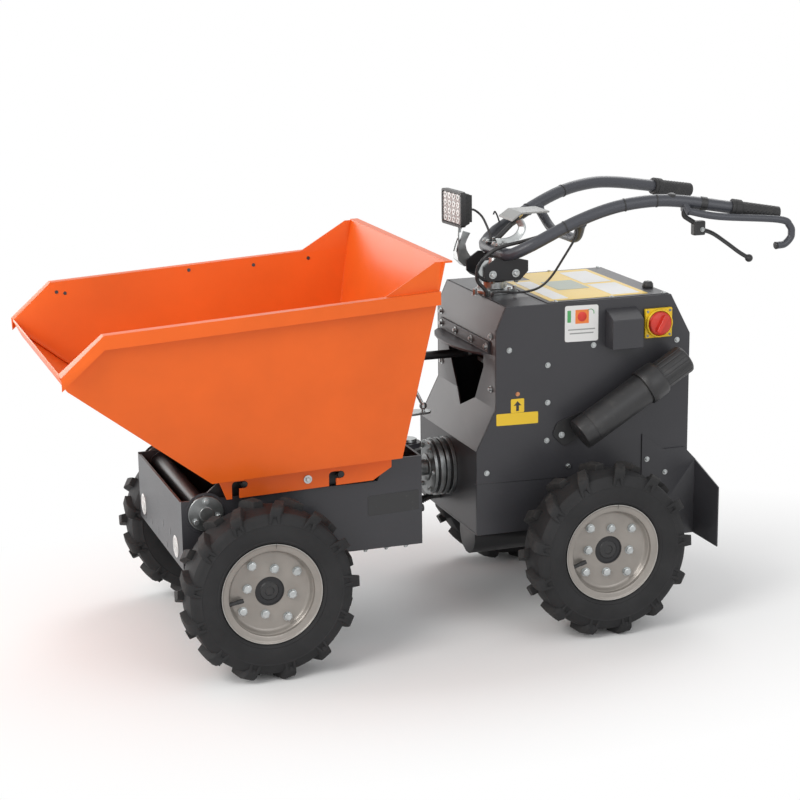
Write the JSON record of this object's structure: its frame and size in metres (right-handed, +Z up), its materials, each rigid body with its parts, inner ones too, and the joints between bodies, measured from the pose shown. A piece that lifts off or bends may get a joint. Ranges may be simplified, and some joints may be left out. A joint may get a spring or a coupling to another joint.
{
  "type": "walk-behind articulated electric site dumper",
  "caption": "Walk-behind site dumper: articulated battery chassis with a forward-tipping steel skip, lugged wheels and a steering handlebar.",
  "frame": {"origin": "centre of the machine's plan, on the ground", "axes": "+X towards the operator's end, +Y to the machine's right, +Z up"},
  "size_m": [1.7514, 0.7176, 1.0035],
  "materials": {
    "skip_paint": "gloss orange paint",
    "chassis_paint": "charcoal powder coat",
    "black_parts": "black",
    "tyre_rubber": "matt rubber",
    "rim_enamel": "warm grey enamel",
    "zinc_plate": "zinc plate",
    "bar_paint": "blue-grey paint",
    "isolator_yellow": "yellow",
    "isolator_red": "red",
    "black_steel": "black paint"
  },
  "bodies": {
    "rear_chassis": {"mudguard_left": "chassis_paint", "mudguard_right": "chassis_paint", "swivel_hub": "zinc_plate", "rear_axle": "black_steel", "rear_side_left": "chassis_paint", "rear_side_right": "chassis_paint", "rear_face_panel": "chassis_paint", "top_deck": "chassis_paint", "battery_lid": "chassis_paint", "rear_back_panel": "chassis_paint", "rear_floor": "chassis_paint", "battery_pack": "black_parts", "battery_bed": "black_steel", "swing_guard": "chassis_paint", "document_canister": "black_parts", "isolator_plate": "isolator_yellow", "isolator_knob": "isolator_red", "socket_housing": "chassis_paint", "motor_conduit": "black_parts", "column_housing": "zinc_plate"},
    "front_chassis": {"tip_shaft": "zinc_plate", "front_frame": "chassis_paint", "kingpin": "zinc_plate", "front_axle": "black_steel", "steering_mast": "zinc_plate"},
    "skip": {"skip_shell": "skip_paint", "hook_rail_left": "skip_paint", "hook_rail_right": "skip_paint", "tip_frame": "black_steel"},
    "handlebar": {"steering_column": "zinc_plate", "handlebar_tubes": "bar_paint", "grip_left": "black_parts", "grip_right": "black_parts", "bar_bracket": "black_steel", "cable_cover": "chassis_paint", "work_lamp": "black_parts", "lamp_bracket": "zinc_plate", "brake_lever": "black_parts", "control_cable": "black_parts", "bar_cable": "black_parts", "lamp_cable": "black_parts"},
    "drag_link": {"drag_link": "black_steel"},
    "front_left_wheel": {"front_left_tyre": "tyre_rubber", "front_left_rim": "rim_enamel", "front_left_hub_cap": "black_parts"},
    "front_right_wheel": {"front_right_tyre": "tyre_rubber", "front_right_rim": "rim_enamel", "front_right_hub_cap": "black_parts"},
    "rear_left_wheel": {"rear_left_tyre": "tyre_rubber", "rear_left_rim": "rim_enamel", "rear_left_hub_cap": "black_parts"},
    "rear_right_wheel": {"rear_right_tyre": "tyre_rubber", "rear_right_rim": "rim_enamel", "rear_right_hub_cap": "black_parts"}
  },
  "joints": [
    {"name": "articulation", "type": "hinge", "parent": "rear_chassis", "child": "front_chassis", "pos_m": [0.0014, 0, 0.353], "axis": [0, 0, 1], "range_deg": [-30, 30], "deforming": ["motor_conduit"]},
    {"name": "tipping", "type": "hinge", "parent": "front_chassis", "child": "skip", "pos_m": [-0.5546, 0, 0.369], "axis": [0, -1, 0], "range_deg": [0, 75]},
    {"name": "handlebar_swing", "type": "hinge", "parent": "rear_chassis", "child": "handlebar", "pos_m": [0.2214, 0, 0.796], "axis": [0, 0, 1], "range_deg": [-30, 30], "deforming": ["control_cable", "bar_cable"]},
    {"name": "drag_link_swing", "type": "hinge", "parent": "front_chassis", "child": "drag_link", "pos_m": [0.0014, 0.06, 0.612], "axis": [0, 0, 1], "range_deg": [-30, 30]},
    {"name": "front_left_wheel_spin", "type": "hinge", "parent": "front_chassis", "child": "front_left_wheel", "pos_m": [-0.4386, -0.3058, 0.2035], "axis": [0, 1, 0], "continuous": true},
    {"name": "front_right_wheel_spin", "type": "hinge", "parent": "front_chassis", "child": "front_right_wheel", "pos_m": [-0.4386, 0.3058, 0.2035], "axis": [0, 1, 0], "continuous": true},
    {"name": "rear_left_wheel_spin", "type": "hinge", "parent": "rear_chassis", "child": "rear_left_wheel", "pos_m": [0.3764, -0.3058, 0.2035], "axis": [0, 1, 0], "continuous": true},
    {"name": "rear_right_wheel_spin", "type": "hinge", "parent": "rear_chassis", "child": "rear_right_wheel", "pos_m": [0.3764, 0.3058, 0.2035], "axis": [0, 1, 0], "continuous": true}
  ],
  "couplings": [
    {"joint": "handlebar_swing", "follows": "articulation", "ratio": 1},
    {"joint": "drag_link_swing", "follows": "articulation", "ratio": -1}
  ]
}
